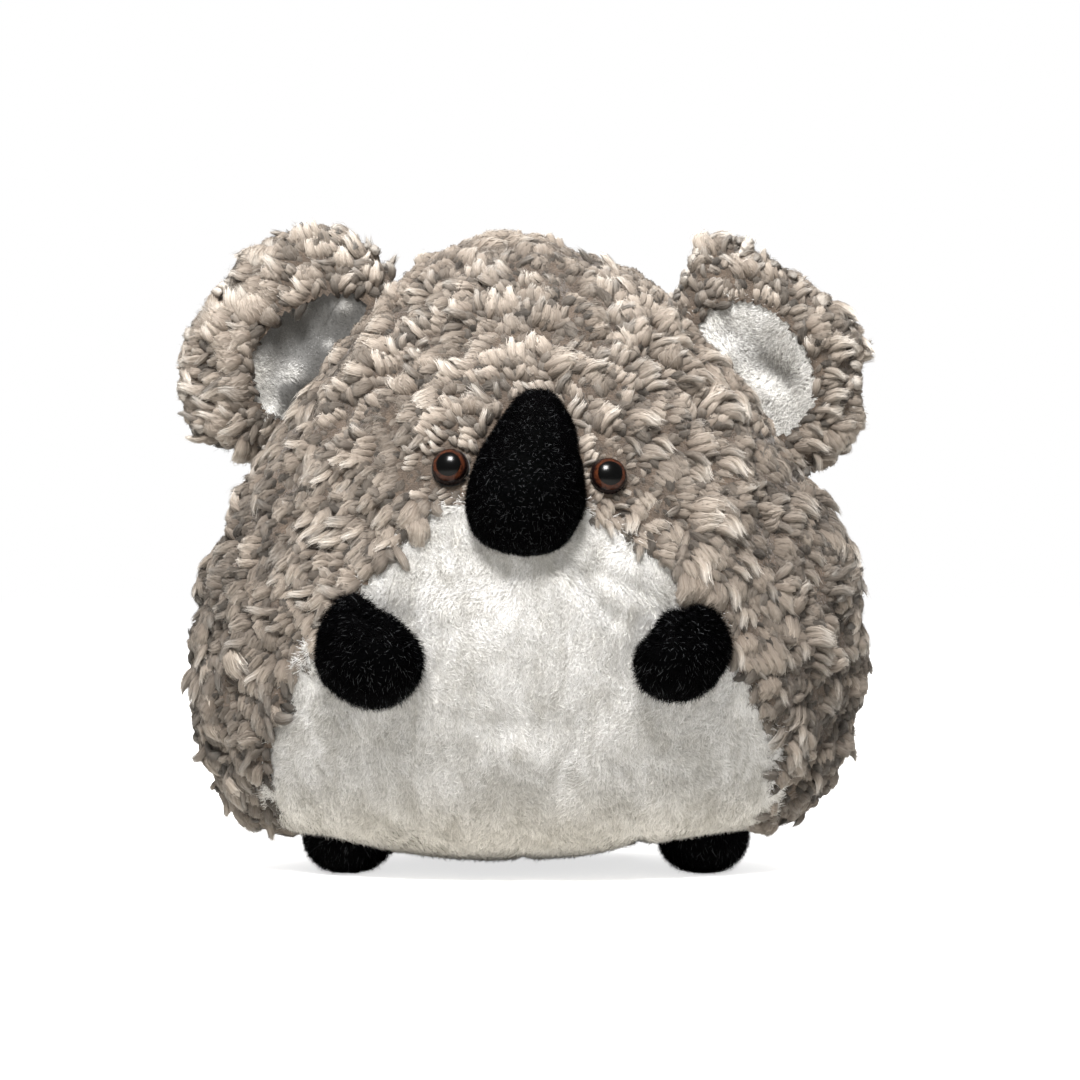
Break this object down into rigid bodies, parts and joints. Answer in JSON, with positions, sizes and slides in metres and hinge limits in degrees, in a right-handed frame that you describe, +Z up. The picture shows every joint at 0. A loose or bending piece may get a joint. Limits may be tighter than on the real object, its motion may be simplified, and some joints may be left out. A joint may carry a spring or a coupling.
{
  "type": "koala cushion",
  "caption": "Stuffed koala-shaped cushion with a curly fleece cover, white plush belly, lined ears, padded nose, safety eyes, hanging paws and flat-soled feet.",
  "frame": {"origin": "under the middle of the whole cushion's box, on the surface that it stands on", "axes": "+Z up, the koala faces -Y, +X to the viewer's right; left and right in the node names are the viewer's"},
  "size_m": [0.2944, 0.1736, 0.2731],
  "materials": {
    "curly_fleece": "matte",
    "white_plush": "matte",
    "black_velour": "matte",
    "fibre_filling": "matte",
    "amber_eye": "polished",
    "black_plastic": "gloss",
    "white_plastic": "satin"
  },
  "bodies": {
    "cushion": {"back_panel": "curly_fleece", "front_panel": "curly_fleece", "belly_panel": "white_plush", "body_filling": "fibre_filling", "nose_cover": "black_velour", "nose_filling": "fibre_filling", "left_eye_dome": "amber_eye", "left_eye_shank": "black_plastic", "left_eye_washer": "white_plastic", "right_eye_dome": "amber_eye", "right_eye_shank": "black_plastic", "right_eye_washer": "white_plastic", "left_foot_cover": "black_velour", "left_foot_filling": "fibre_filling", "right_foot_cover": "black_velour", "right_foot_filling": "fibre_filling"},
    "left_ear": {"left_ear_cover": "curly_fleece", "left_ear_lining": "white_plush", "left_ear_filling": "fibre_filling"},
    "right_ear": {"right_ear_cover": "curly_fleece", "right_ear_lining": "white_plush", "right_ear_filling": "fibre_filling"},
    "left_paw": {"left_paw_cover": "black_velour", "left_paw_filling": "fibre_filling"},
    "right_paw": {"right_paw_cover": "black_velour", "right_paw_filling": "fibre_filling"}
  },
  "joints": [
    {"name": "left_ear_fold", "type": "hinge", "parent": "cushion", "child": "left_ear", "pos_m": [-0.0843, 0.00926, 0.21716], "axis": [0.5233, 0, 0.8521], "range_deg": [-30, 30], "stiffness_Nm_per_rad": 0.08},
    {"name": "right_ear_fold", "type": "hinge", "parent": "cushion", "child": "right_ear", "pos_m": [0.0904, 0.00926, 0.20718], "axis": [0.5828, 0, -0.8126], "range_deg": [-30, 30], "stiffness_Nm_per_rad": 0.08},
    {"name": "left_paw_lift", "type": "hinge", "parent": "cushion", "child": "left_paw", "pos_m": [-0.07691, -0.06035, 0.112], "axis": [-0.5996, 0.1152, -0.792], "range_deg": [0, 80]},
    {"name": "right_paw_lift", "type": "hinge", "parent": "cushion", "child": "right_paw", "pos_m": [0.07591, -0.06035, 0.112], "axis": [-0.5996, -0.1152, 0.792], "range_deg": [0, 80]}
  ]
}
